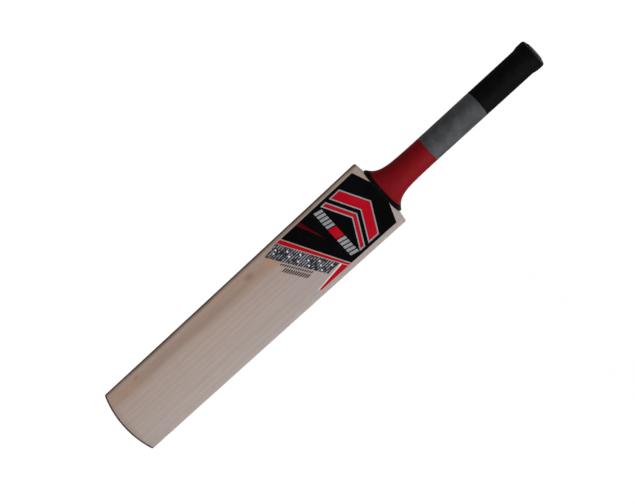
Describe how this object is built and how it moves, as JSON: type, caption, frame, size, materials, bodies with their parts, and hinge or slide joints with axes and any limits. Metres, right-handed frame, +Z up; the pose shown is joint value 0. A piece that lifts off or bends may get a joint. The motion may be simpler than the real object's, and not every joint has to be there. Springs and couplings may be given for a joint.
{
  "type": "cricket bat",
  "caption": "Upright cricket bat with a bowed willow blade, a ridged back, a spliced cane handle in a three-colour rubber grip, and plain geometric face labels.",
  "frame": {"origin": "under the middle of the bat's overall box, level with the lowest point of the toe", "axes": "+Z up the bat from toe to handle end, -Y out of the hitting face, +X to the right when looking at the face"},
  "size_m": [0.108, 0.0675, 0.82],
  "materials": {
    "willow": "sanded, lightly oiled, straight lengthwise grain",
    "toe_rubber": "matt dark brown",
    "cane": "planed, straight fibres",
    "spring_rubber": "matt",
    "twine": "close wound waxed thread",
    "neck_tape": "matt black cloth tape",
    "red_rubber": "satin, finely textured",
    "grey_rubber": "satin, finely textured",
    "black_rubber": "satin, finely textured",
    "end_cap_rubber": "satin",
    "black_print": "satin vinyl",
    "red_print": "satin vinyl",
    "dark_red_print": "satin vinyl",
    "slate_print": "satin vinyl with fine hatching",
    "grey_print": "satin print",
    "pale_print": "satin vinyl",
    "silver_print": "satin metallic vinyl"
  },
  "bodies": {
    "root": {"blade": "willow", "toe_guard": "toe_rubber", "cane_front_left": "cane", "cane_front_middle": "cane", "cane_front_right": "cane", "cane_front_inner_left": "cane", "cane_front_inner_middle": "cane", "cane_front_inner_right": "cane", "cane_back_inner_left": "cane", "cane_back_inner_middle": "cane", "cane_back_inner_right": "cane", "cane_back_left": "cane", "cane_back_middle": "cane", "cane_back_right": "cane", "rubber_spring_front": "spring_rubber", "rubber_spring_middle": "spring_rubber", "rubber_spring_back": "spring_rubber", "twine_binding": "twine", "neck_tape": "neck_tape", "grip_red": "red_rubber", "grip_grey": "grey_rubber", "grip_black": "black_rubber", "end_cap": "end_cap_rubber", "face_panel": "black_print", "face_stripe": "red_print", "face_band": "slate_print", "band_dots": "pale_print", "tick_rows": "grey_print", "face_flash": "red_print", "flash_edging": "pale_print", "panel_slash": "dark_red_print", "silver_bars": "silver_print", "red_bar": "red_print", "chevron_edging": "silver_print", "chevron_fill": "red_print"}
  },
  "joints": []
}
